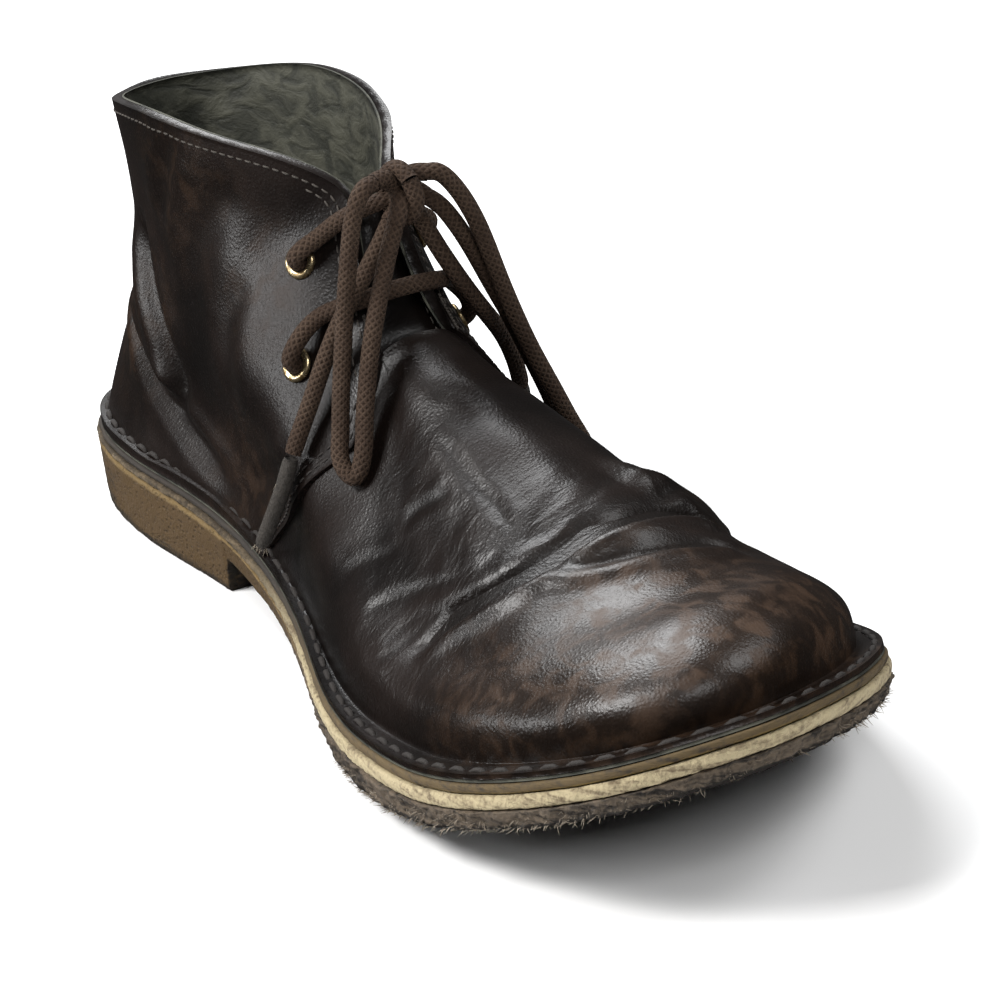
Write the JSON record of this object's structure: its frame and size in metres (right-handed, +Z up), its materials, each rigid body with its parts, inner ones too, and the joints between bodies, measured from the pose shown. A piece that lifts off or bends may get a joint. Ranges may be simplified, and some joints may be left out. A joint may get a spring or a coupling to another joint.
{
  "type": "chukka boot",
  "caption": "Left ankle-high leather boot with turned-out sewn edge, crepe sole and heel, two rows of eyelets and a tied lace.",
  "frame": {"origin": "centre of the footprint, on the ground under the sole", "axes": "+Z up, toe towards -Y, heel towards +Y, outer side towards +X"},
  "size_m": [0.1129, 0.302, 0.1192],
  "materials": {
    "crepe": "matt amber crepe, dirty at the edge",
    "cream_layer": "matt cream layer",
    "tan_layer": "raw tan edge",
    "leather": "worn waxed dark brown",
    "lining": "dull grey-olive lining",
    "eyelet": "antique brass",
    "lace": "waxed round brown cord",
    "lace_tip": "dark brown tube"
  },
  "bodies": {
    "root": {"outsole": "crepe", "midsole": "cream_layer", "welt": "tan_layer", "insole": "lining", "upper": "leather", "tongue": "leather", "eyelet_upper_inner": "eyelet", "eyelet_upper_outer": "eyelet", "eyelet_lower_inner": "eyelet", "eyelet_lower_outer": "eyelet", "lace_bar_lower": "lace", "lace_bar_upper": "lace", "lace_knot": "lace", "lace_loop_inner": "lace", "lace_loop_outer": "lace", "lace_end_inner": "lace", "lace_end_outer": "lace", "aglet_inner": "lace_tip", "aglet_outer": "lace_tip"}
  },
  "joints": []
}
